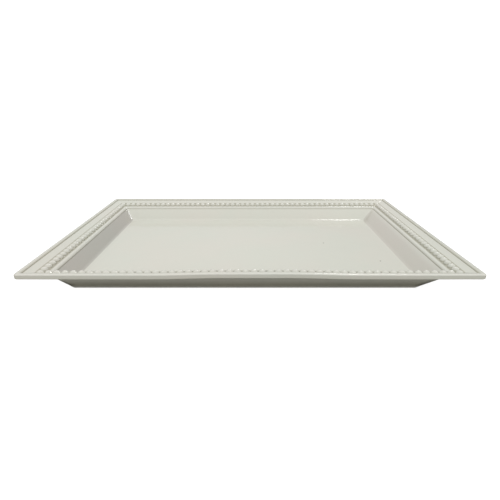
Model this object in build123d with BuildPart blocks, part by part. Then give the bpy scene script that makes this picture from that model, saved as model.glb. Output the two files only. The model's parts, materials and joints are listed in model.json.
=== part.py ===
from build123d import *
import os
from math import floor, hypot, radians, tan

# A rectangular china serving platter: a flat well with sloping walls, a broad rim that
# falls gently inwards, a rounded lip round its edge, one row of beads in a shallow
# channel, and a smooth ridge between the beads and the wall of the well.
#
# Frame: millimetres, +X along the length, -Y the front, +Z up. The origin is on the
# surface that the platter stands on, under its middle.
#
# Sections are drawn once, at the middle of the front side, and are carried round the
# platter from there. In them u is the distance in from the rim's outer edge.

# ---- Overall ----
platter_length = 356.0
platter_width = 231.0
platter_height = 28.4
rim_corner_radius = 2.5

# ---- Rim ----
edge_thickness = 4.2  # with the lip
edge_round = 1.2
edge_band = 2.8  # level band of the underside along the edge
rim_fall = 0.38  # drop for each millimetre inwards
knee_round = 3.0  # where the rim's underside meets the wall

# ---- Lip, a rounded band on a level seat round the edge ----
lip_width = 4.2
lip_rise = 0.84
lip_crest_u = 1.7

# ---- Beads, in a shallow channel ----
bead_diameter = 5.8
bead_height = 2.0
bead_gap = 0.55  # least gap between neighbours
channel_u = 10.15  # outer side of the channel
channel_depth = 0.3
channel_clearance = 0.45  # between a bead and each side of the channel

# ---- Ridge, on a facet that takes off the knee between rim and wall ----
ridge_land = 0.3  # from the channel to the facet
facet_width = 3.4
facet_drop = 2.6
ridge_swell = 0.8  # height of the ridge's arc over the facet

# ---- Well ----
wall_angle = 43.5  # from level
floor_thickness = 5.2  # over the recess inside the foot
floor_round = 9.0

# ---- Outside of the wall, and the foot ring ----
outer_wall_angle = 53.8  # from level
outer_corner_radius = 2.0
foot_u = 31.0  # outer edge of the foot, on the table
foot_height = 3.2
foot_width = 3.6
foot_draft = 15.0  # of the foot's inner side, from upright
foot_round = 0.8

# ---- Places on the section ----
half_length = platter_length / 2
half_width = platter_width / 2
seat_z = platter_height - lip_rise
edge_z = platter_height - edge_thickness
bead_u = channel_u + channel_clearance + bead_diameter / 2
channel_end_u = bead_u + bead_diameter / 2 + channel_clearance
facet_u = channel_end_u + ridge_land
wall_u = facet_u + facet_width
floor_level = foot_height + floor_thickness
outer_slope = tan(radians(outer_wall_angle))
foot_top_u = foot_u - foot_height / outer_slope
foot_end_u = foot_u + foot_width + foot_height * tan(radians(foot_draft))


def rim_z(u):
    """Height of the rim's sloping top."""
    return seat_z - rim_fall * (u - lip_width)


facet_z = rim_z(facet_u)
wall_z = facet_z - facet_drop
wall_foot_u = wall_u + (wall_z - floor_level) / tan(radians(wall_angle))
core_u = max(wall_foot_u, foot_end_u) + floor_round
knee_u = (outer_slope * foot_u - edge_z - rim_fall * edge_band) / (outer_slope - rim_fall)
knee_z = outer_slope * (foot_u - knee_u)

section_plane = Plane(origin=(0, -half_width, 0), x_dir=(0, 1, 0), z_dir=(1, 0, 0))

with BuildLine() as mitred_path:
    Polyline(
        (0, -half_width),
        (half_length, -half_width),
        (half_length, half_width),
        (-half_length, half_width),
        (-half_length, -half_width),
        (0, -half_width),
    )


def nearest(vertices, u, z):
    """The corner of a section that is nearest to a place on it."""
    return vertices.sort_by_distance((u, z, 0))[0]


def on_mitre(edge):
    """Whether an edge runs along the mitre between two sides."""
    middle = edge @ 0.5
    return abs((half_length - abs(middle.X)) - (half_width - abs(middle.Y))) < 1e-4


def starts_at(edge, z):
    """Whether an edge's lowest point is at a height."""
    return abs(edge.bounding_box().min.Z - z) < 1e-4


def at_level(faces, z):
    """The level face at a height."""
    return faces.filter_by(Axis.Z).sort_by(lambda face: abs(face.center().Z - z))[0]


# ---- Body: rim, wall and floor, pressed in one piece ----
with BuildPart() as platter_body:
    with BuildSketch(section_plane) as body_section:
        with BuildLine():
            Polyline(
                (0, edge_z),
                (0, seat_z),
                (lip_width, seat_z),
                (channel_u, rim_z(channel_u)),
                (channel_u, rim_z(channel_u) - channel_depth),
                (channel_end_u, rim_z(channel_end_u) - channel_depth),
                (channel_end_u, rim_z(channel_end_u)),
                (facet_u, facet_z),
                (wall_u, wall_z),
                (wall_foot_u, floor_level),
                (core_u, floor_level),
                (core_u, foot_height),
                (foot_top_u, foot_height),
                (knee_u, knee_z),
                (edge_band, edge_z),
                (0, edge_z),
            )
        make_face()
        fillet(nearest(body_section.vertices(), wall_foot_u, floor_level), floor_round)
        fillet(nearest(body_section.vertices(), knee_u, knee_z), knee_round)
    sweep(path=mitred_path.wire(), transition=Transition.RIGHT)
    with BuildSketch(Plane.XY.offset(foot_height)):
        Rectangle(platter_length - 2 * core_u, platter_width - 2 * core_u)
    extrude(amount=floor_thickness)
    with BuildSketch():
        RectangleRounded(platter_length, platter_width, rim_corner_radius)
    extrude(amount=platter_height, mode=Mode.INTERSECT)
    mitres = platter_body.edges().filter_by(on_mitre)
    fillet(mitres.filter_by(lambda edge: starts_at(edge, foot_height)), outer_corner_radius)
    fillet(at_level(platter_body.faces(), edge_z).outer_wire().edges(), edge_round)

# ---- Foot ring, luted under the body with its outside in line with the wall's ----
with BuildPart() as foot_ring:
    with BuildSketch(section_plane):
        with BuildLine():
            Polyline(
                (foot_top_u, foot_height),
                (foot_u, 0),
                (foot_u + foot_width, 0),
                (foot_end_u, foot_height),
                (foot_top_u, foot_height),
            )
        make_face()
    sweep(path=mitred_path.wire(), transition=Transition.RIGHT)
    fillet(foot_ring.edges().filter_by(on_mitre), outer_corner_radius)
    fillet(at_level(foot_ring.faces(), 0).edges(), foot_round)

# ---- Lip, on the level seat round the edge ----
with BuildPart() as rim_edge_lip:
    with BuildSketch(section_plane):
        with BuildLine():
            EllipticalCenterArc((lip_crest_u, seat_z), lip_crest_u, lip_rise, 90, arc_size=90)
            EllipticalCenterArc((lip_crest_u, seat_z), lip_width - lip_crest_u, lip_rise, 0, arc_size=90)
            Line((0, seat_z), (lip_width, seat_z))
        make_face()
    sweep(path=mitred_path.wire(), transition=Transition.RIGHT)
    with BuildSketch():
        RectangleRounded(platter_length, platter_width, rim_corner_radius)
    extrude(amount=platter_height, mode=Mode.INTERSECT)

# ---- Ridge, on the facet ----
with BuildPart() as bead_ridge:
    with BuildSketch(section_plane):
        with BuildLine():
            SagittaArc((facet_u, facet_z), (wall_u, wall_z), ridge_swell)
            Line((facet_u, facet_z), (wall_u, wall_z))
        make_face()
    sweep(path=mitred_path.wire(), transition=Transition.RIGHT)

# ---- Beads: balls that stand out of the channel's floor, all round and at the corners ----
bead_radius = ((bead_diameter / 2) ** 2 + bead_height**2) / (2 * bead_height)
bead_sink = bead_radius - bead_height  # from the channel's floor down to a ball's centre
slant = hypot(1, rim_fall)
channel_floor_z = rim_z(bead_u) - channel_depth
ball_u = bead_u - bead_sink * rim_fall / slant
ball_z = channel_floor_z - bead_sink / slant
row_x = half_length - ball_u
row_y = half_width - ball_u


def channel_floor(inward, half_span):
    """The channel's floor along one side, facing up."""
    foot = Vector(0, 0, channel_floor_z) - inward * (half_span - bead_u)
    return Plane(origin=foot, z_dir=Vector(0, 0, 1) + inward * rim_fall)


def spread(half_span):
    """Even places from end to end of a side, as many as the least gap allows."""
    steps = floor(2 * half_span / (bead_diameter + bead_gap))
    return [half_span * (2 * step / steps - 1) for step in range(steps + 1)]


channel_floors = [
    channel_floor(Vector(0, 1, 0), half_width),
    channel_floor(Vector(0, -1, 0), half_width),
    channel_floor(Vector(1, 0, 0), half_length),
    channel_floor(Vector(-1, 0, 0), half_length),
]
# The long rows hold the four corner beads.
rows = {
    "bead_row_front": [(x, -row_y, ball_z) for x in spread(row_x)],
    "bead_row_back": [(x, row_y, ball_z) for x in spread(row_x)],
    "bead_row_left": [(-row_x, y, ball_z) for y in spread(row_y)[1:-1]],
    "bead_row_right": [(row_x, y, ball_z) for y in spread(row_y)[1:-1]],
}
pieces = {
    "platter_body": platter_body,
    "foot_ring": foot_ring,
    "rim_edge_lip": rim_edge_lip,
    "bead_ridge": bead_ridge,
}
for row_name, places in rows.items():
    with BuildPart() as bead_row:
        with Locations(*places):
            Sphere(bead_radius)
        for face in channel_floors:
            split(bisect_by=face, keep=Keep.TOP)
    pieces[row_name] = bead_row

# ---- Output ----
os.makedirs("parts", exist_ok=True)
for node_name, piece in pieces.items():
    piece.part.label = node_name
    export_step(piece.part, f"parts/{node_name}.step")
    print(node_name, len(piece.solids()), "solids,", round(piece.part.volume), "mm3")
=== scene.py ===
# %% [markdown]
# # A beaded china platter
# A rectangular serving platter of glazed china: a flat well with sloping walls, a broad
# rim with one row of beads, and a rounded lip. The frame loaded here is the finished
# design. Each piece made below is a softer, glazed skin for one of its parts, so it
# takes its places from the frame and never moves it.

# %% Load the frame
import json
import math
from collections import namedtuple

import bmesh
import bpy
from mathutils import Matrix, Vector


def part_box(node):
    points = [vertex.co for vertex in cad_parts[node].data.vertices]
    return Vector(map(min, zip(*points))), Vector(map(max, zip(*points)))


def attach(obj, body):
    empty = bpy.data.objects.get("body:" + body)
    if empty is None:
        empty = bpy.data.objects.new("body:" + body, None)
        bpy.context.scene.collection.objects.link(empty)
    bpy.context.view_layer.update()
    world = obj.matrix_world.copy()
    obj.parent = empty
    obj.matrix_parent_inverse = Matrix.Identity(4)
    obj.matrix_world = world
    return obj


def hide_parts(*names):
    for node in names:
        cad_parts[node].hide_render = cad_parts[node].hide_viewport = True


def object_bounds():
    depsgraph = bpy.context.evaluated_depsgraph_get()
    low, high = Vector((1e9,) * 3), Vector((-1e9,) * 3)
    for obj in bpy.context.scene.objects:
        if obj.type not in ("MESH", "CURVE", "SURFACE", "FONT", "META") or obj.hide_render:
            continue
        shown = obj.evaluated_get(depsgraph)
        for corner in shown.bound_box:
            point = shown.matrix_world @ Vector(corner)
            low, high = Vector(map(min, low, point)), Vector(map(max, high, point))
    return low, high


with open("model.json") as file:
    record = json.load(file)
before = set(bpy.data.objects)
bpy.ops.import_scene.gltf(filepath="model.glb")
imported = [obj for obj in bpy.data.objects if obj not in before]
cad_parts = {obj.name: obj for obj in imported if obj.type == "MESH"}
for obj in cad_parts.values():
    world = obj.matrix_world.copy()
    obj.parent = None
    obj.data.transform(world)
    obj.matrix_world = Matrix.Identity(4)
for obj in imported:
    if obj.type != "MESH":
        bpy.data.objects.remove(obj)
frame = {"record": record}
cad_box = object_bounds()
scene = bpy.context.scene
MM = 0.001
HALF_LENGTH = cad_box[1][0]
HALF_WIDTH = cad_box[1][1]
TOP = cad_box[1][2]
print("platter", [round(2000 * half) for half in (HALF_LENGTH, HALF_WIDTH)], "mm")

# %% [markdown]
# ## Places on the section
# A platter is drawn as one section, which is carried round it. In the section, u is the
# distance in from the outer edge and z is the height. The frame's boxes give the lip's
# seat, the band of beads, both ends of the ridge, the floor and the foot, so the skin
# stays on the design. What a box can't tell, such as a slope, is named here once.

# %% Read the section from the frame
def inset(node):
    """Distance in from the platter's outer edge to a node's outside."""
    return HALF_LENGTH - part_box(node)[1][0]


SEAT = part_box("rim_edge_lip")[0][2]
FOOT_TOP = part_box("foot_ring")[1][2]
FLOOR = next(m["pos_m"][2] for m in frame["record"]["mounts"] if m["name"] == "well_floor")
RIM_FALL = 0.38
LIP_WIDTH = 4.2 * MM
LIP_CREST = 1.7 * MM
EDGE_THICKNESS = 4.2 * MM
EDGE_BAND = 2.8 * MM
WALL_ANGLE = math.radians(43.5)
OUTER_WALL = math.tan(math.radians(53.8))
CHANNEL_DEPTH = 0.3 * MM
CHANNEL_MARGIN = 0.59 * MM
FACET_WIDTH = 3.4 * MM


def rim_z(u):
    """Height of the rim's sloping top."""
    return SEAT - RIM_FALL * (u - LIP_WIDTH)


BEADS_OUT = inset("bead_row_right")
BEADS_IN = HALF_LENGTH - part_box("bead_row_right")[0][0]
FACET = inset("bead_ridge")
WALL = FACET + FACET_WIDTH
WALL_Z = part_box("bead_ridge")[0][2]
WALL_FOOT = WALL + (WALL_Z - FLOOR) / math.tan(WALL_ANGLE)
FOOT_OUT = inset("foot_ring")
FOOT_ON_TABLE = FOOT_OUT + FOOT_TOP / OUTER_WALL
EDGE_Z = TOP - EDGE_THICKNESS
KNEE = (OUTER_WALL * FOOT_ON_TABLE - EDGE_Z - RIM_FALL * EDGE_BAND) / (OUTER_WALL - RIM_FALL)
KNEE_Z = OUTER_WALL * (FOOT_ON_TABLE - KNEE)
print("beads", round(BEADS_OUT / MM, 2), "to", round(BEADS_IN / MM, 2), "mm in")

# %% [markdown]
# ## Camera
# The camera stands in front, a little above the rim, and looks down across the platter
# with a wide lens. It is placed from the front edge and the rim, so it follows the
# platter's size. It comes first, because everything else is judged through it.

# %% Set up the camera
CAMERA_BACK = 0.2485
CAMERA_UP = 0.1196
CAMERA_PITCH = math.radians(22.05)
CAMERA_LENS = 26.56
CAMERA_SENSOR = 36.0
lens = bpy.data.cameras.new("camera")
lens.sensor_width = CAMERA_SENSOR
lens.lens = CAMERA_LENS
camera = bpy.data.objects.new("camera", lens)
camera.location = (0.0, -HALF_WIDTH - CAMERA_BACK, TOP + CAMERA_UP)
camera.rotation_euler = (math.pi / 2 - CAMERA_PITCH, 0.0, 0.0)
scene.collection.objects.link(camera)
scene.camera = camera
print("camera", [round(place, 3) for place in camera.location])

# %% [markdown]
# ## Drawing rounded sections
# A potter's profile is straight runs joined by soft turns. Each section here is a list
# of corners, and this helper turns a corner into an arc of a given radius, as a fillet
# does. Every corner also says how round the platter is in plan there, and how deep the
# glaze lies, a number that also paints shade by darkening the glaze in hollows.

# %% A corner, and the arc that rounds it
Corner = namedtuple("Corner", "u z soft plan pool", defaults=(0.0, 0.0, 0.5))
ARC_STEPS = 6


def softened(corners, closed=False):
    """The corners as closely spaced points, with an arc in place of each soft one."""
    points = []
    for index, corner in enumerate(corners):
        before = corners[index - 1]
        after = corners[(index + 1) % len(corners)]
        at_end = not closed and index in (0, len(corners) - 1)
        if corner.soft == 0 or at_end:
            points.append(corner)
            continue
        here = Vector((corner.u, corner.z))
        back = Vector((before.u, before.z)) - here
        on = Vector((after.u, after.z)) - here
        turn = math.pi - back.angle(on)
        reach = min(corner.soft * math.tan(turn / 2), 0.48 * back.length, 0.48 * on.length)
        radius = reach / math.tan(turn / 2)
        start = here + back.normalized() * reach
        middle = start + (here + on.normalized() * reach - start) / 2
        centre = here + (middle - here).normalized() * math.hypot(radius, reach)
        first = start - centre
        sweep = first.angle_signed(here + on.normalized() * reach - centre)
        for step in range(ARC_STEPS + 1):
            spoke = Matrix.Rotation(-sweep * step / ARC_STEPS, 2) @ first
            points.append(corner._replace(u=centre.x + spoke.x, z=centre.y + spoke.y))
    return points

# %% [markdown]
# ## The ring that a section travels along
# The platter's outline is four straight sides and four round corners, but it shrinks as
# the section moves inwards. So the ring doesn't store places. Each of its points stores
# which corner it leans on and which way is out, and a Geometry Nodes tree works out the
# place: corner times what is left of the half size, plus outwards times the radius.

# %% Make the ring and the sections as loose edges
SIDE_STEPS = (44, 28)
CORNER_STEPS = 7


def edge_mesh(name, places, closed, **numbers):
    """A chain of loose edges that carries named numbers or vectors on its points."""
    mesh = bpy.data.meshes.new(name)
    chain = [(i, i + 1) for i in range(len(places) - 1)]
    if closed:
        chain.append((len(places) - 1, 0))
    mesh.from_pydata(places, chain, [])
    for label, values in numbers.items():
        kind = "FLOAT_VECTOR" if isinstance(values[0], Vector) else "FLOAT"
        layer = mesh.attributes.new(label, kind, "POINT")
        flat = [part for v in values for part in v] if kind == "FLOAT_VECTOR" else values
        layer.data.foreach_set("vector" if kind == "FLOAT_VECTOR" else "value", flat)
    return mesh


def outline_ring():
    """The ring: each point's corner, from -1 to 1 each way, and its outward direction."""
    corners = []
    outwards = []
    for side in range(4):
        turn = Matrix.Rotation(side * math.pi / 2, 3, "Z")
        steps = SIDE_STEPS[side % 2]
        for step in range(steps + 1):
            corners.append(turn @ Vector((2 * step / steps - 1, -1, 0)))
            outwards.append(turn @ Vector((0, -1, 0)))
        for step in range(1, CORNER_STEPS):
            angle = math.pi / 2 * step / CORNER_STEPS
            corners.append(turn @ Vector((1, -1, 0)))
            outwards.append(turn @ Vector((math.sin(angle), -math.cos(angle), 0)))
    places = [c + 0.1 * o for c, o in zip(corners, outwards)]
    return edge_mesh("outline", places, True, corner=corners, outward=outwards)


def section_mesh(name, points, closed):
    """A section: its u and z, its radius in plan, and its glaze depth with painted shade."""
    return edge_mesh(
        name,
        [(p.u, p.z, 0) for p in points],
        closed,
        inset=[p.u for p in points],
        level=[p.z for p in points],
        plan=[p.plan for p in points],
        pool=[p.pool for p in points],
    )


ring = outline_ring()
print("ring", len(ring.vertices), "points")

# %% [markdown]
# ## Small helpers for node trees
# A tree is easier to read when each node is one line that says its kind and what goes
# into it. These two helpers do that: one makes a tree with named inputs, and the other
# adds a node, linking what is a socket and setting what is a value.

# %% Helpers for node trees
def new_tree(name, **inputs):
    """An empty Geometry Nodes tree with named inputs, its input node and its output node."""
    tree = bpy.data.node_groups.new(name, "GeometryNodeTree")
    tree.interface.new_socket("Geometry", in_out="INPUT", socket_type="NodeSocketGeometry")
    for label, kind in inputs.items():
        tree.interface.new_socket(label, in_out="INPUT", socket_type=f"NodeSocket{kind}")
    tree.interface.new_socket("Geometry", in_out="OUTPUT", socket_type="NodeSocketGeometry")
    return tree, tree.nodes.new("NodeGroupInput").outputs, tree.nodes.new("NodeGroupOutput")


def add(tree, kind, *values, **settings):
    """A node of a kind, with its inputs in order. None leaves an input alone."""
    node = tree.nodes.new(kind)
    for label, value in settings.items():
        setattr(node, label, value)
    sockets = [socket for socket in node.inputs if socket.enabled]
    for socket, value in zip(sockets, values):
        if isinstance(value, bpy.types.NodeSocket):
            tree.links.new(value, socket)
        elif value is not None:
            socket.default_value = value
    return node


def math_node(tree, operation, *values):
    """The result of a sum on numbers."""
    return add(tree, "ShaderNodeMath", *values, operation=operation).outputs[0]


def vector_node(tree, operation, *values):
    """The result of a sum on vectors."""
    return add(tree, "ShaderNodeVectorMath", *values, operation=operation).outputs[0]


def attribute(tree, name, kind="FLOAT"):
    """A named attribute of the geometry."""
    return add(tree, "GeometryNodeInputNamedAttribute", name, data_type=kind).outputs[0]


def smooth_step(tree, value, none, full):
    """0 to 1, with soft ends, as a value goes from one number to another."""
    node = add(tree, "ShaderNodeMapRange", value, none, full, 0.0, 1.0)
    node.interpolation_type = "SMOOTHSTEP"
    return node.outputs[0]


def kiln_sag(tree, place, u, sag):
    """How far the rim has dropped: all of it but the front's middle, and less down the wall."""
    x, y, _ = add(tree, "ShaderNodeSeparateXYZ", place).outputs
    free = smooth_step(tree, u, FOOT_OUT, WALL)
    aside = math_node(tree, "ABSOLUTE", math_node(tree, "SUBTRACT", x, HUMP_PLACE))
    along = smooth_step(tree, aside, HUMP_END, HUMP_TOP)
    in_front = smooth_step(tree, y, -0.5 * HALF_WIDTH, -0.75 * HALF_WIDTH)
    hump = math_node(tree, "MULTIPLY", along, in_front)
    dropped = math_node(tree, "MULTIPLY", free, math_node(tree, "SUBTRACT", 1.0, hump))
    return math_node(tree, "MULTIPLY", dropped, sag)


HUMP_PLACE = 4.0 * MM
HUMP_TOP = 26.0 * MM
HUMP_END = 80.0 * MM

# %% [markdown]
# ## Carrying a section round the platter
# The main tree: it sweeps the section along the ring only to get the faces, then puts
# every point in its place by rule. Sharp corners in plan come out as clean mitres, and
# soft ones as cones. In the kiln a broad rim sinks a little, and here the middle of the
# front has stayed up, and the soft clay has leaned, so the well and the foot sit a few
# millimetres to the left. The tree adds that, with a slow ripple for the reflections.

# %% Tree: carry a section round
def carry_tree():
    """Carries the Section object's chain round the outline ring."""
    tree, inputs, output = new_tree(
        "carry_section_round",
        Section="Object",
        HalfLength="Float",
        HalfWidth="Float",
        Sag="Float",
        Lean="Float",
        Ripple="Float",
        Material="Material",
    )
    section = add(tree, "GeometryNodeObjectInfo", inputs["Section"]).outputs["Geometry"]
    path = add(tree, "GeometryNodeMeshToCurve", inputs["Geometry"]).outputs[0]
    profile = add(tree, "GeometryNodeMeshToCurve", section).outputs[0]
    skin = add(tree, "GeometryNodeCurveToMesh", path, profile).outputs[0]

    u = attribute(tree, "inset")
    plan = attribute(tree, "plan")
    corner = attribute(tree, "corner", "FLOAT_VECTOR")
    outward = attribute(tree, "outward", "FLOAT_VECTOR")
    half = add(tree, "ShaderNodeCombineXYZ", inputs["HalfLength"], inputs["HalfWidth"]).outputs[0]
    both = math_node(tree, "ADD", u, plan)
    reach = vector_node(tree, "SUBTRACT", half, add(tree, "ShaderNodeCombineXYZ", both, both).outputs[0])
    lean = vector_node(tree, "MULTIPLY", corner, reach)
    bend = add(tree, "ShaderNodeVectorMath", outward, operation="SCALE")
    tree.links.new(plan, bend.inputs["Scale"])
    flat = vector_node(tree, "ADD", lean, bend.outputs[0])

    drop = kiln_sag(tree, flat, u, inputs["Sag"])
    level = math_node(tree, "SUBTRACT", attribute(tree, "level"), drop)
    depth = add(tree, "ShaderNodeMapRange", attribute(tree, "level"), WALL_Z, 0.0, 0.0, 1.0).outputs[0]
    aside = math_node(tree, "MULTIPLY", depth, math_node(tree, "MULTIPLY", inputs["Lean"], -1.0))
    offset = add(tree, "ShaderNodeCombineXYZ", aside, 0.0, level).outputs[0]
    place = vector_node(tree, "ADD", flat, offset)
    set_place = add(tree, "GeometryNodeSetPosition", skin)
    tree.links.new(place, set_place.inputs["Position"])

    noise = add(tree, "ShaderNodeTexNoise", place, noise_dimensions="3D")
    noise.inputs["Scale"].default_value = RIPPLES_PER_METRE
    noise.inputs["Detail"].default_value = 1.0
    swell = math_node(tree, "MULTIPLY", math_node(tree, "SUBTRACT", noise.outputs[0], 1.0), inputs["Ripple"])
    lift = math_node(tree, "MULTIPLY", swell, math_node(tree, "DIVIDE", attribute(tree, "level"), TOP))
    rippled = add(tree, "GeometryNodeSetPosition", set_place.outputs[0])
    tree.links.new(add(tree, "ShaderNodeCombineXYZ", 0.0, 0.0, lift).outputs[0], rippled.inputs["Offset"])

    welded = add(tree, "GeometryNodeMergeByDistance", rippled.outputs[0], None, WELD)
    smooth = add(tree, "GeometryNodeSetShadeSmooth", welded.outputs[0]).outputs[0]
    whole = add(tree, "GeometryNodeRealizeInstances", smooth).outputs[0]
    finished = add(tree, "GeometryNodeSetMaterial", whole, None, inputs["Material"]).outputs[0]
    tree.links.new(finished, output.inputs[0])
    return tree


RIPPLES_PER_METRE = 22.0
WELD = 0.002 * MM
SAG = 1.0 * MM
LEAN = 4.5 * MM
carry_section = carry_tree()
print("tree", carry_section.name, "with", len(carry_section.nodes), "nodes")

# %% [markdown]
# ## From a tree to a finished piece
# A piece starts as an object with the tree on it as a modifier. Its inputs are set by
# their identifiers, the result is read back as a plain mesh, and the modifier is gone
# before the frame hears of the piece. Edges that turn sharply are marked, so that the
# smooth shading doesn't smear over them.

# %% Helpers that finish a piece
SHARP_TURN = math.radians(50)


def run_tree(name, start, tree, **inputs):
    """A plain mesh object from a start mesh and a tree with its inputs set."""
    piece = bpy.data.objects.new(name, start.copy())
    scene.collection.objects.link(piece)
    modifier = piece.modifiers.new(name, "NODES")
    modifier.node_group = tree
    for item in tree.interface.items_tree:
        if item.in_out == "INPUT" and item.name in inputs:
            modifier[item.identifier] = inputs[item.name]
    depsgraph = bpy.context.evaluated_depsgraph_get()
    mesh = bpy.data.meshes.new_from_object(piece.evaluated_get(depsgraph), depsgraph=depsgraph)
    piece.modifiers.clear()
    piece.data = mesh
    mesh.name = name
    return piece


def face_outwards(mesh):
    """Turns a closed mesh's faces outwards and marks its sharp edges."""
    work = bmesh.new()
    work.from_mesh(mesh)
    bmesh.ops.dissolve_degenerate(work, dist=1e-7, edges=work.edges)
    bmesh.ops.recalc_face_normals(work, faces=work.faces)
    if work.calc_volume(signed=True) < 0:
        bmesh.ops.reverse_faces(work, faces=work.faces)
    open_edges = sum(not edge.is_manifold for edge in work.edges)
    work.to_mesh(mesh)
    work.free()
    mesh.set_sharp_from_angle(angle=SHARP_TURN)
    return open_edges


def settle(piece, node):
    """Hangs a finished piece, faced outwards, on the root body and hides the node it covers."""
    loose = face_outwards(piece.data)
    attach(piece, "root")
    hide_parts(node)
    print(piece.name, len(piece.data.polygons), "faces,", loose, "open edges")


def carried(name, corners, closed, node, material):
    """Makes a piece whose section is carried round the platter."""
    section = bpy.data.objects.new("section", section_mesh(name, softened(corners, closed), closed))
    piece = run_tree(
        name,
        ring,
        carry_section,
        Section=section,
        HalfLength=HALF_LENGTH,
        HalfWidth=HALF_WIDTH,
        Sag=SAG,
        Lean=LEAN,
        Ripple=RIPPLE,
        Material=material,
    )
    bpy.data.objects.remove(section)
    settle(piece, node)


RIPPLE = 0.12 * MM
glaze = bpy.data.materials.new("ivory_glaze")
bare = bpy.data.materials.new("bare_foot")

# %% [markdown]
# ## The body: rim, wall and floor
# The biggest piece is one skin from the middle of the floor, up the wall, over the rim
# and back underneath to the middle of the base. The glaze has softened every turn. A
# fine groove runs inside the lip, where the tool that pressed the rim has cut in.

# %% Carry the body's section round
PLAN_EDGE = 2.5 * MM
PLAN_RIM = 1.2 * MM
PLAN_WALL = 2.0 * MM
PLAN_FLOOR = 7.0 * MM
PLAN_UNDER = 2.5 * MM
PLAN_MIDDLE = 9.0 * MM
GROOVE = 0.28 * MM
CHANNEL_OUT = BEADS_OUT - CHANNEL_MARGIN
CHANNEL_IN = BEADS_IN + CHANNEL_MARGIN
# Each corner's last number is its depth of glaze, which also paints shade: it darkens the grooves and the
# bead channel, and the underside more and more towards the foot.
body_corners = [
    Corner(HALF_WIDTH, FLOOR),
    Corner(100 * MM, FLOOR, 0, PLAN_MIDDLE),
    Corner(85 * MM, FLOOR, 0, PLAN_MIDDLE),
    Corner(70 * MM, FLOOR, 0, PLAN_MIDDLE),
    Corner(55 * MM, FLOOR, 0, PLAN_MIDDLE),
    Corner(WALL_FOOT, FLOOR, 7 * MM, PLAN_FLOOR, 0.5),
    Corner(WALL, WALL_Z, 1.2 * MM, PLAN_WALL, 0.3),
    Corner(FACET, rim_z(FACET) - 0.25 * MM, 0.2 * MM, PLAN_RIM, 0.9),
    Corner(CHANNEL_IN - 0.25 * MM, rim_z(CHANNEL_IN) - CHANNEL_DEPTH, 0.3 * MM, PLAN_RIM, 1.0),
    Corner(CHANNEL_OUT + 0.3 * MM, rim_z(CHANNEL_OUT) - CHANNEL_DEPTH, 0.3 * MM, PLAN_RIM, 1.0),
    Corner(CHANNEL_OUT - 0.2 * MM, rim_z(CHANNEL_OUT), 0.5 * MM, PLAN_RIM, 0.4),
    Corner(LIP_WIDTH + 0.75 * MM, rim_z(LIP_WIDTH + 0.75 * MM), 0.5 * MM, PLAN_RIM, 0.5),
    Corner(LIP_WIDTH + 0.15 * MM, SEAT - GROOVE, 0.15 * MM, PLAN_RIM, 1.0),
    Corner(LIP_WIDTH - 0.4 * MM, SEAT - 0.1 * MM, 0, PLAN_RIM, 1.0),
    Corner(0.0, SEAT, 0, PLAN_EDGE, 0.3),
    Corner(0.0, EDGE_Z, 0.8 * MM, PLAN_EDGE, 0.4),
    Corner(EDGE_BAND, EDGE_Z, 2 * MM, PLAN_EDGE, 0.5),
    Corner(KNEE, KNEE_Z, 4 * MM, PLAN_UNDER, 0.1),
    Corner(FOOT_OUT, FOOT_TOP, 0, PLAN_UNDER, 1.0),
    Corner(55 * MM, FOOT_TOP, 0, PLAN_MIDDLE),
    Corner(85 * MM, FOOT_TOP, 0, PLAN_MIDDLE),
    Corner(HALF_WIDTH, FOOT_TOP),
]
carried("glazed_body", body_corners, False, "platter_body", glaze)

# %% [markdown]
# ## The lip
# The lip is a rounded band along the edge. It rises steeply from the edge's face, crests
# early and falls slowly inwards to the groove. Two quarter ellipses draw that.

# %% Carry the lip's section round
LIP_STEPS = 8
LIP_FOOT = LIP_WIDTH + 0.1 * MM


def lip_corners():
    """The lip's two quarter ellipses, over a base sunk a little under the groove."""
    rise = TOP - SEAT
    over = []
    for step in range(2 * LIP_STEPS + 1):
        angle = math.pi - math.pi / 2 * step / LIP_STEPS
        width = LIP_CREST if step <= LIP_STEPS else LIP_FOOT - LIP_CREST
        u = LIP_CREST + width * math.cos(angle)
        plan = PLAN_EDGE + (PLAN_RIM - PLAN_EDGE) * u / LIP_FOOT
        # The glaze's depth, which also paints shade: pale at the edge, darker towards the groove.
        over.append(Corner(u, SEAT + rise * math.sin(angle), 0, plan, 0.9 * u / LIP_FOOT))
    return [*over, Corner(LIP_FOOT, SEAT - GROOVE, 0, PLAN_RIM, 1.0)]


carried("glazed_lip", lip_corners(), True, "rim_edge_lip", glaze)

# %% [markdown]
# ## The ridge
# A smooth ridge stands between the beads and the well. It is a shallow arc over the
# facet that takes off the knee, and it runs out softly into the wall.

# %% Carry the ridge's section round
RIDGE_STEPS = 10
RIDGE_SWELL = 0.8 * MM
RIDGE_TAIL = 1.6 * MM


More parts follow.
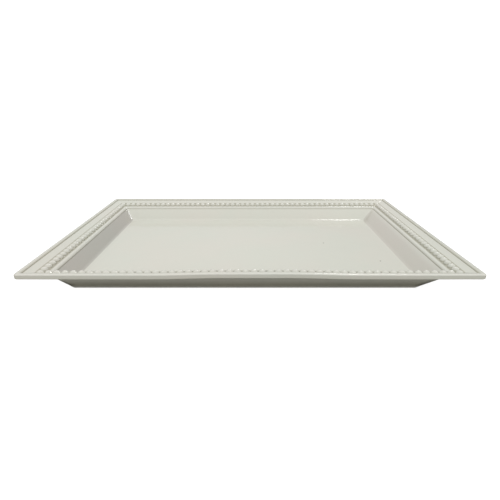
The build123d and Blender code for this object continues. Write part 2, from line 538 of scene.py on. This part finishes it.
def ridge_corners():
    """An arc over the facet, a soft tail down the wall, and a hidden base."""
    start = Vector((FACET, rim_z(FACET)))
    end = Vector((WALL, WALL_Z))
    chord = end - start
    normal = Vector((-chord.y, chord.x)).normalized()
    over = []
    for step in range(RIDGE_STEPS + 1):
        share = step / RIDGE_STEPS
        place = start + chord * share + normal * RIDGE_SWELL * 4 * share * (1 - share)
        plan = PLAN_RIM + (PLAN_WALL - PLAN_RIM) * share
        # The glaze's depth, which also paints shade: dark at the ridge's two feet, pale on its crest.
        over.append(Corner(place.x, place.y, 0, plan, 0.9 - 0.8 * math.sin(math.pi * share)))
    tail_z = WALL_Z - RIDGE_TAIL * math.tan(WALL_ANGLE) - 0.03 * MM
    tail = Corner(WALL + RIDGE_TAIL, tail_z, 0, PLAN_WALL, 0.3)
    knee = over.pop()._replace(soft=2.0 * MM)
    base = Corner(WALL - 1.0 * MM, WALL_Z - 0.5 * MM, 0, PLAN_WALL)
    sunk = Corner(FACET, rim_z(FACET) - 0.5 * MM, 0, PLAN_RIM)
    return [*over, knee, tail, base, sunk]


carried("glazed_ridge", ridge_corners(), True, "bead_ridge", glaze)

# %% [markdown]
# ## The foot ring
# The platter stands on a low ring. Its outside carries on the slope of the wall, and its
# lower face is wiped clean of glaze before the firing, so that it doesn't stick to the
# kiln's shelf.

# %% Carry the foot's section round
FOOT_WIDTH = 3.6 * MM
FOOT_DRAFT = FOOT_TOP * math.tan(math.radians(15.0))
foot_corners = [
    Corner(FOOT_OUT, FOOT_TOP, 0, PLAN_UNDER),
    Corner(FOOT_ON_TABLE, 0.0, 0.9 * MM, PLAN_UNDER),
    Corner(FOOT_ON_TABLE + FOOT_WIDTH, 0.0, 0.8 * MM, PLAN_UNDER),
    Corner(FOOT_ON_TABLE + FOOT_WIDTH + FOOT_DRAFT, FOOT_TOP, 1.0 * MM, PLAN_UNDER),
    Corner(FOOT_ON_TABLE + FOOT_WIDTH + FOOT_DRAFT + 2 * MM, FOOT_TOP, 0, PLAN_UNDER),
    Corner(FOOT_ON_TABLE + FOOT_WIDTH, FOOT_TOP + 0.5 * MM, 0, PLAN_UNDER),
]
carried("foot", foot_corners, True, "foot_ring", bare)

# %% [markdown]
# ## One bead
# A bead is a ball sunk in the rim, and the glaze runs up its foot in a little cove. One
# small mesh turned on a lathe does for all of them: a few rings of points, closed below.
# Its glaze is thin on the crown and deep in the cove, and that depth also paints shade:
# the cove is darker, most of all on the side of the ridge, as shade between the beads.
# An attribute says how deep, and +Y is the ridge's side.

# %% Turn one bead
BEAD_HEIGHT = 2.0 * MM
BEAD_SEGMENTS = 16
BEAD_TILT = math.atan(RIM_FALL)
bead_radius = (BEADS_IN - BEADS_OUT) / 2 / math.cos(BEAD_TILT)
ball_radius = (bead_radius**2 + BEAD_HEIGHT**2) / (2 * BEAD_HEIGHT)
COVE = 0.3 * MM
# Depth of glaze per ring, crown to foot, which also paints shade in the cove.
COVE_POOLS_AND_SHADE = (0.05, 0.1, 0.2, 0.45, 0.9, 1.0)


def turned_bead():
    """One bead round the origin, standing on its seat, with its glaze depth and painted shade."""
    rings = [
        (ball_radius * math.sin(angle), ball_radius * (math.cos(angle) - 1) + BEAD_HEIGHT)
        for angle in (math.radians(degrees) for degrees in (17, 34, 47, 57))
    ]
    rings.append((bead_radius - 0.08 * MM, COVE))
    rings.append((bead_radius + COVE, -0.05 * MM))
    points = [(0.0, 0.0, BEAD_HEIGHT)]
    pools_and_shade = [0.0]
    for index, (radius, height) in enumerate(rings):
        for segment in range(BEAD_SEGMENTS):
            turn = 2 * math.pi * segment / BEAD_SEGMENTS
            points.append((radius * math.cos(turn), radius * math.sin(turn), height))
            # The +Y side, towards the ridge, is deeper, as painted shade between the beads.
            pools_and_shade.append(COVE_POOLS_AND_SHADE[index] * (0.7 + 0.3 * math.sin(turn)))
    around = [(s, (s + 1) % BEAD_SEGMENTS) for s in range(BEAD_SEGMENTS)]
    faces = [(0, 1 + a, 1 + b) for a, b in around]
    for index in range(len(rings) - 1):
        upper = 1 + index * BEAD_SEGMENTS
        lower = upper + BEAD_SEGMENTS
        faces += [(upper + a, lower + a, lower + b, upper + b) for a, b in around]
    last = 1 + (len(rings) - 1) * BEAD_SEGMENTS
    faces.append(tuple(last + s for s in reversed(range(BEAD_SEGMENTS))))
    mesh = bpy.data.meshes.new("bead")
    mesh.from_pydata(points, [], faces)
    mesh.attributes.new("pool", "FLOAT", "POINT").data.foreach_set("value", pools_and_shade)
    return mesh


bead_mesh = turned_bead()
print("bead", len(bead_mesh.polygons), "faces, ball radius", round(ball_radius / MM, 2), "mm")

# %% [markdown]
# ## Rows of beads
# A row is one bead repeated along a line, which is what instances are for. The tree lays
# a line of points, drops them with the rim's sag, stands a bead on each, tilted with the
# rim, and varies their size a touch, since the mould's hollows were cut by hand. The end
# beads of the long rows sit in the corners, so they also lean towards the other side.

# %% Tree: a row of beads
def bead_tree():
    """Stands the start mesh at even places from First to Last."""
    tree, inputs, output = new_tree(
        "bead_row",
        Count="Int",
        First="Vector",
        Last="Vector",
        Tilt="Vector",
        EndTilt="Vector",
        Vary="Float",
        Seed="Int",
        Inset="Float",
        Sag="Float",
        Material="Material",
    )
    line = add(tree, "GeometryNodeMeshLine", mode="END_POINTS")
    for label, source in (("Count", "Count"), ("Start Location", "First"), ("Offset", "Last")):
        tree.links.new(inputs[source], line.inputs[label])
    place = add(tree, "GeometryNodeInputPosition").outputs[0]
    drop = kiln_sag(tree, place, inputs["Inset"], inputs["Sag"])
    sunk = add(tree, "GeometryNodeSetPosition", line.outputs[0])
    fall = add(tree, "ShaderNodeCombineXYZ", 0.0, 0.0, math_node(tree, "MULTIPLY", drop, -1.0))
    tree.links.new(fall.outputs[0], sunk.inputs["Offset"])

    index = add(tree, "GeometryNodeInputIndex").outputs[0]
    is_first = math_node(tree, "LESS_THAN", index, 0.5)
    is_last = math_node(tree, "GREATER_THAN", index, math_node(tree, "SUBTRACT", inputs["Count"], 1.5))
    end = add(tree, "ShaderNodeVectorMath", inputs["EndTilt"], operation="SCALE")
    tree.links.new(math_node(tree, "SUBTRACT", is_first, is_last), end.inputs["Scale"])
    lean = vector_node(tree, "ADD", inputs["Tilt"], end.outputs[0])

    size = add(tree, "FunctionNodeRandomValue", data_type="FLOAT")
    sockets = [socket for socket in size.inputs if socket.enabled]
    tree.links.new(math_node(tree, "SUBTRACT", 1.0, inputs["Vary"]), sockets[0])
    sockets[1].default_value = 1.0
    tree.links.new(inputs["Seed"], size.inputs["Seed"])
    sizes = next(socket for socket in size.outputs if socket.enabled)
    rows = add(tree, "GeometryNodeInstanceOnPoints", sunk.outputs[0])
    tree.links.new(inputs["Geometry"], rows.inputs["Instance"])
    tree.links.new(lean, rows.inputs["Rotation"])
    tree.links.new(sizes, rows.inputs["Scale"])
    whole = add(tree, "GeometryNodeRealizeInstances", rows.outputs[0]).outputs[0]
    smooth = add(tree, "GeometryNodeSetShadeSmooth", whole).outputs[0]
    finished = add(tree, "GeometryNodeSetMaterial", smooth, None, inputs["Material"]).outputs[0]
    tree.links.new(finished, output.inputs[0])
    return tree


bead_row = bead_tree()
print("tree", bead_row.name, "with", len(bead_row.nodes), "nodes")

# %% Stand the four rows
LEAST_PITCH = 6.35 * MM
BEAD_VARY = 0.04
bead_u = (BEADS_OUT + BEADS_IN) / 2
seat_z = rim_z(bead_u) - CHANNEL_DEPTH
row_x = HALF_LENGTH - bead_u
row_y = HALF_WIDTH - bead_u


def beads(side, first, last, count, tilt, end_tilt, seed):
    """Makes one side's row, from a first place to a last one."""
    piece = run_tree(
        f"glazed_beads_{side}",
        bead_mesh,
        bead_row,
        Count=count,
        First=first,
        Last=last,
        Tilt=tilt,
        EndTilt=end_tilt,
        Vary=BEAD_VARY,
        Seed=seed,
        Inset=bead_u,
        Sag=SAG,
        Material=glaze,
    )
    settle(piece, f"bead_row_{side}")


long_steps = math.floor(2 * row_x / LEAST_PITCH)
short_steps = math.floor(2 * row_y / LEAST_PITCH)
short_end = row_y * (1 - 2 / short_steps)
for side, y, turn, lean, seed in (("front", -row_y, 0, 1, 3), ("back", row_y, math.pi, -1, 5)):
    ends = ((-row_x, y, seat_z), (row_x, y, seat_z))
    corner_lean = (0, lean * BEAD_TILT / 2, 0)
    beads(side, *ends, long_steps + 1, (-BEAD_TILT, 0, turn), corner_lean, seed)
for side, x, turn, seed in (("left", -row_x, -math.pi / 2, 7), ("right", row_x, math.pi / 2, 11)):
    ends = ((x, -short_end, seat_z), (x, short_end, seat_z))
    beads(side, *ends, short_steps - 1, (-BEAD_TILT, 0, turn), (0, 0, 0), seed)

# %% [markdown]
# ## The glaze
# The glaze is a warm white glass over pale china. It lies thin and pale on crowns and
# edges, and pools a little creamier in grooves, which the pieces' own pool attribute
# says. That attribute also paints shade: the grooves, the coves of the beads and the
# underside near the foot are darker as painted shade. The well's two end walls are
# painted darker and greyer as shade, more on the left, and the material finds those
# walls from their slope. Slow clouds tint it, a few iron specks show through, the floor
# of the well is faintly scuffed from use, and a fine orange peel keeps its shine from
# looking like plastic.

# %% Colours and the glaze's material
THIN_GLAZE = (0.77, 0.765, 0.725, 1)
GLAZE = (0.715, 0.715, 0.66, 1)
# Deep glaze, which also paints shade in grooves, coves and near the foot.
POOLED_AND_SHADED_GLAZE = (0.47, 0.455, 0.38, 1)
SPECK = (0.10, 0.075, 0.045, 1)
SPECK_RADIUS = 0.9 * MM
SPECK_PLACES = ((0.1225, -0.0468, FLOOR), (0.0777, 0.0005, FLOOR))
# Painted shade on the well's left and right end walls, and the width of its soft edge.
LEFT_WALL_SHADE = (0.74, 0.72, 0.73, 1)
RIGHT_WALL_SHADE = (0.86, 0.83, 0.83, 1)
WALL_SHADE_FADE = 1.5 * MM


def end_wall_shade_mask(tree, place):
    """Mask of painted shade: 1 on the well's sloping end walls; which end, 0 left, 1 right."""
    x, y, level = add(tree, "ShaderNodeSeparateXYZ", place).outputs
    lean = add(tree, "ShaderNodeMapRange", level, WALL_Z, 0.0, 0.0, LEAN).outputs[0]
    upright = math_node(tree, "ADD", x, lean)
    from_end = math_node(tree, "SUBTRACT", HALF_LENGTH, math_node(tree, "ABSOLUTE", upright))
    from_side = math_node(tree, "SUBTRACT", HALF_WIDTH, math_node(tree, "ABSOLUTE", y))
    line = math_node(tree, "ADD", level, math_node(tree, "MULTIPLY", from_end, math.tan(WALL_ANGLE)))
    line = math_node(tree, "SUBTRACT", line, WALL_Z + WALL * math.tan(WALL_ANGLE))
    on_line = smooth_step(tree, math_node(tree, "ABSOLUTE", line), WALL_SHADE_FADE, WALL_SHADE_FADE / 2)
    below = smooth_step(tree, level, WALL_Z, WALL_Z - WALL_SHADE_FADE / 2)
    on_end = smooth_step(tree, math_node(tree, "SUBTRACT", from_side, from_end), 0.0, WALL_SHADE_FADE)
    share = math_node(tree, "MULTIPLY", math_node(tree, "MULTIPLY", on_line, below), on_end)
    return share, math_node(tree, "GREATER_THAN", x, 0.0)


def glaze_colour(tree, place):
    """The glaze's colour: depth with painted shade, slow clouds, shaded end walls, iron specks."""
    # Thin to deep glaze; the deep end also paints shade in hollows.
    ramp = add(tree, "ShaderNodeValToRGB", attribute_fac(tree, "pool"))
    ramp.color_ramp.elements[0].color = THIN_GLAZE
    ramp.color_ramp.elements[1].color = POOLED_AND_SHADED_GLAZE
    ramp.color_ramp.elements.new(0.5).color = GLAZE
    clouds = noise(tree, place, 16.0, 2.0)
    warmth = add(tree, "ShaderNodeValToRGB", clouds)
    warmth.color_ramp.elements[0].position = 0.35
    warmth.color_ramp.elements[0].color = (1.0, 0.985, 0.965, 1)
    warmth.color_ramp.elements[1].position = 0.65
    warmth.color_ramp.elements[1].color = (0.975, 0.99, 0.965, 1)
    colour = mixed(tree, "MULTIPLY", 1.0, ramp.outputs[0], warmth.outputs[0])
    # Painted shade on the end walls, the left one darker.
    share, side = end_wall_shade_mask(tree, place)
    wall_shade = mixed(tree, "MIX", side, LEFT_WALL_SHADE, RIGHT_WALL_SHADE)
    colour = mixed(tree, "MULTIPLY", share, colour, wall_shade)
    for centre in SPECK_PLACES:
        gap = add(tree, "ShaderNodeVectorMath", place, centre, operation="DISTANCE").outputs["Value"]
        near = smooth_step(tree, gap, SPECK_RADIUS, SPECK_RADIUS / 3)
        colour = mixed(tree, "MIX", near, colour, SPECK)
    return colour


def attribute_fac(tree, name):
    """A named number of the piece, for a material."""
    return add(tree, "ShaderNodeAttribute", attribute_name=name).outputs["Fac"]


def noise(tree, place, scale, detail):
    """Noise from 0 to 1, with a scale in lumps per metre."""
    node = add(tree, "ShaderNodeTexNoise", place)
    node.inputs["Scale"].default_value = scale
    node.inputs["Detail"].default_value = detail
    return node.outputs[0]


def mixed(tree, blend, share, first, second):
    """Two colours mixed."""
    node = tree.nodes.new("ShaderNodeMix")
    node.data_type = "RGBA"
    node.blend_type = blend
    for label, value in (("Factor_Float", share), ("A_Color", first), ("B_Color", second)):
        socket = next(s for s in node.inputs if s.identifier == label)
        if isinstance(value, bpy.types.NodeSocket):
            tree.links.new(value, socket)
        else:
            socket.default_value = value
    return next(s for s in node.outputs if s.identifier == "Result_Color")


SMOOTHEST = 0.05
DULLEST = 0.10
SCUFF = 0.12
PEEL_PER_METRE = 700.0
WAVES_PER_METRE = 55.0
PEEL_SHARE = 0.02


def glaze_shine(tree, place):
    """The glaze's roughness: a little uneven, and scuffed where things slide."""
    uneven = noise(tree, place, 60.0, 3.0)
    base = add(tree, "ShaderNodeMapRange", uneven, 0.3, 0.7, SMOOTHEST, DULLEST).outputs[0]
    level = add(tree, "ShaderNodeSeparateXYZ", place).outputs[2]
    on_floor = smooth_step(tree, level, FLOOR + 1.5 * MM, FLOOR)
    turned = add(tree, "ShaderNodeMapping", place, None, (0, 0, 0.6), (1.0, 14.0, 1.0))
    scuffs = smooth_step(tree, noise(tree, turned.outputs[0], 90.0, 4.0), 0.55, 0.8)
    scuffed = math_node(tree, "MULTIPLY", math_node(tree, "MULTIPLY", scuffs, on_floor), SCUFF)
    return math_node(tree, "ADD", base, scuffed)


def glaze_relief(tree, place):
    """The glaze's orange peel, over slower waves."""
    peel = noise(tree, place, PEEL_PER_METRE, 1.0)
    waves = noise(tree, place, WAVES_PER_METRE, 1.0)
    both = math_node(tree, "ADD", math_node(tree, "MULTIPLY", peel, PEEL_SHARE), waves)
    relief = add(tree, "ShaderNodeBump")
    relief.inputs["Strength"].default_value = 0.35
    relief.inputs["Distance"].default_value = 0.35 * MM
    tree.links.new(both, relief.inputs["Height"])
    return relief.outputs[0]


def start_material(material):
    """The material's tree, its surface and the place on the piece."""
    material.use_nodes = True
    tree = material.node_tree
    place = add(tree, "ShaderNodeTexCoord").outputs["Object"]
    surface = tree.nodes["Principled BSDF"]
    surface.inputs["IOR"].default_value = 1.52
    return tree, surface, place


tree, surface, place = start_material(glaze)
tree.links.new(glaze_colour(tree, place), surface.inputs["Base Color"])
tree.links.new(glaze_shine(tree, place), surface.inputs["Roughness"])
tree.links.new(glaze_relief(tree, place), surface.inputs["Normal"])
print("glaze", len(tree.nodes), "nodes")

# %% [markdown]
# ## The foot's two finishes
# The foot's sides are glazed, and its lower face is bare fired china: chalky, faintly
# gritty, and grey where it has rubbed on tables. The height tells the two apart, and
# some noise makes the line between them wander as a wiped edge does.

# %% The foot's material
BARE_CHINA = (0.60, 0.56, 0.47, 1)
RUBBED = (0.38, 0.37, 0.34, 1)
GLAZE_LINE = 0.85 * MM
LINE_WANDER = 0.25 * MM

tree, surface, place = start_material(bare)
drift = noise(tree, place, 180.0, 2.0)
wander = add(tree, "ShaderNodeMapRange", drift, 0.3, 0.7, -LINE_WANDER, LINE_WANDER)
level = add(tree, "ShaderNodeSeparateXYZ", place).outputs[2]
glazed = smooth_step(
    tree, math_node(tree, "ADD", level, wander.outputs[0]), GLAZE_LINE, GLAZE_LINE + 0.15 * MM
)
grit = noise(tree, place, 2600.0, 3.0)
wear = smooth_step(tree, noise(tree, place, 70.0, 4.0), 0.5, 0.75)
clay = mixed(tree, "MIX", wear, BARE_CHINA, RUBBED)
clay = mixed(tree, "MULTIPLY", smooth_step(tree, grit, 0.45, 0.75), clay, (0.8, 0.78, 0.74, 1))
tree.links.new(mixed(tree, "MIX", glazed, clay, glaze_colour(tree, place)), surface.inputs["Base Color"])
shine = add(tree, "ShaderNodeMapRange", glazed, 0.0, 1.0, 0.8, 0.08)
tree.links.new(shine.outputs[0], surface.inputs["Roughness"])
relief = add(tree, "ShaderNodeBump")
relief.inputs["Strength"].default_value = 0.4
relief.inputs["Distance"].default_value = 0.1 * MM
gritty = math_node(tree, "MULTIPLY", grit, math_node(tree, "SUBTRACT", 1.0, glazed))
tree.links.new(gritty, relief.inputs["Height"])
tree.links.new(relief.outputs[0], surface.inputs["Normal"])
print("foot", len(tree.nodes), "nodes")

# %% [markdown]
# ## Studio
# The platter stands on a plain pale floor in soft light. The floor is two sheets in one
# place: a white one that only the camera sees, turned up at its far edges as a backdrop,
# and a grey one that only throws light back up under the rim, as a real table would. Two
# sheets let the picture stay pale while the underside keeps its shade.

# %% The floor's two sheets
FLOOR_HALF = 40.0
BACKDROP_HEIGHT = 60.0
TURNS = ((-1, -1), (1, -1), (1, 1), (-1, 1))
WHITE_PAPER = (0.30, 0.30, 0.30, 1)
WHITE_GLOW = 0.93
GREY_PAPER = (0.47, 0.46, 0.43, 1)


def sheet(name, level, colour, glow, walls=0.0):
    """A wide sheet of dull paper, with walls if asked, that may glow a little by itself."""
    mesh = bpy.data.meshes.new(name)
    points = [(FLOOR_HALF * x, FLOOR_HALF * y, z) for z in (level, level + walls) for x, y in TURNS]
    faces = [(0, 1, 2, 3)]
    if walls:
        faces += [(a, 4 + a, 4 + (a + 1) % 4, (a + 1) % 4) for a in range(4)]
    mesh.from_pydata(points[: 8 if walls else 4], [], faces)
    piece = bpy.data.objects.new(name, mesh)
    scene.collection.objects.link(piece)
    paper = bpy.data.materials.new(name)
    paper.use_nodes = True
    surface = paper.node_tree.nodes["Principled BSDF"]
    surface.inputs["Base Color"].default_value = colour
    surface.inputs["Roughness"].default_value = 1.0
    surface.inputs["Specular IOR Level"].default_value = 0.0
    surface.inputs["Emission Color"].default_value = (1, 1, 1, 1)
    surface.inputs["Emission Strength"].default_value = glow
    mesh.materials.append(paper)
    piece.visible_glossy = False
    piece.visible_transmission = False
    return piece


seen_floor = sheet("studio_floor", 0.0, WHITE_PAPER, WHITE_GLOW, BACKDROP_HEIGHT)
seen_floor.visible_diffuse = False
seen_floor.visible_shadow = False
bounce_floor = sheet("studio_bounce", -0.1 * MM, GREY_PAPER, 0.0)
bounce_floor.visible_camera = False

# %% [markdown]
# ## Light
# A room of big soft panels lights the platter. Each row below is a panel: its azimuth
# from straight back, turning rightwards, its height in degrees, how tight its glow is
# and how strong. The strong ones are overhead and in front, and the low ones at the sides
# are dim, so a wall that leans to the side falls into shade and the rim stays pale. A
# bright window behind adds only glints, on the curves of the lip, beads and mitres.

# %% The sky and the lamp
SKY_SHARE = 0.158
SKY_COLOUR = (1.0, 0.995, 0.975, 1)
HORIZON = 0.02
LAMP_SIZE = (1.8, 1.5)
LAMP_POWER = 75.0
LAMP_DISTANCE = 8.0
LAMP_AZIMUTH = 25
LAMP_ELEVATION = 44
TALL, SMALL = 10.0, 20.0
PANELS = (
    (0, 90, TALL, 3.6),
    (0, 52, TALL, 4.4),
    (60, 52, TALL, 6.2),
    (120, 52, TALL, 4.2),
    (180, 52, TALL, 2.8),
    (240, 52, TALL, 2.6),
    (300, 52, TALL, 4.2),
    (0, 22, SMALL, 3.4),
    (25, 22, SMALL, 1.7),
    (50, 22, SMALL, 0.7),
    (90, 22, TALL, 2.2),
    (135, 22, TALL, 3.2),
    (180, 22, TALL, 7.2),
    (225, 22, TALL, 5.8),
    (270, 22, TALL, 1.4),
    (310, 22, SMALL, 2.4),
    (335, 22, SMALL, 3.2),
)


def facing(azimuth, elevation):
    """The way to an azimuth from straight back, rightwards, and an elevation."""
    turn, rise = math.radians(azimuth), math.radians(elevation)
    flat = math.cos(rise)
    return Vector((flat * math.sin(turn), flat * math.cos(turn), math.sin(rise)))


world = bpy.data.worlds.new("sky")
scene.world = world
world.use_nodes = True
tree = world.node_tree
sky = tree.nodes["Background"]
way = add(tree, "ShaderNodeTexCoord").outputs["Generated"]
light = 0.0
for azimuth, elevation, tightness, strength in PANELS:
    panel = tuple(facing(azimuth, elevation))
    nearness = add(tree, "ShaderNodeVectorMath", way, panel, operation="DOT_PRODUCT").outputs["Value"]
    falloff = math_node(tree, "MULTIPLY", math_node(tree, "SUBTRACT", nearness, 1.0), tightness)
    glow = math_node(tree, "MULTIPLY", math_node(tree, "EXPONENT", falloff), SKY_SHARE * strength)
    light = math_node(tree, "ADD", light, glow)
level = add(tree, "ShaderNodeSeparateXYZ", way).outputs[2]
above = smooth_step(tree, level, -HORIZON, HORIZON)
tree.links.new(math_node(tree, "MULTIPLY", above, light), sky.inputs["Strength"])
sky.inputs["Color"].default_value = SKY_COLOUR

data = bpy.data.lights.new("back_lamp", "AREA")
data.shape = "RECTANGLE"
data.size, data.size_y = LAMP_SIZE
data.energy = LAMP_POWER
lamp = bpy.data.objects.new("back_lamp", data)
lamp.location = LAMP_DISTANCE * facing(LAMP_AZIMUTH, LAMP_ELEVATION)
lamp.rotation_euler = (-lamp.location).to_track_quat("-Z", "Y").to_euler()
scene.collection.objects.link(lamp)
lamp.visible_diffuse = False
scene.view_settings.view_transform = "Standard"
print(len(PANELS), "panels and a lamp of", LAMP_POWER, "W")
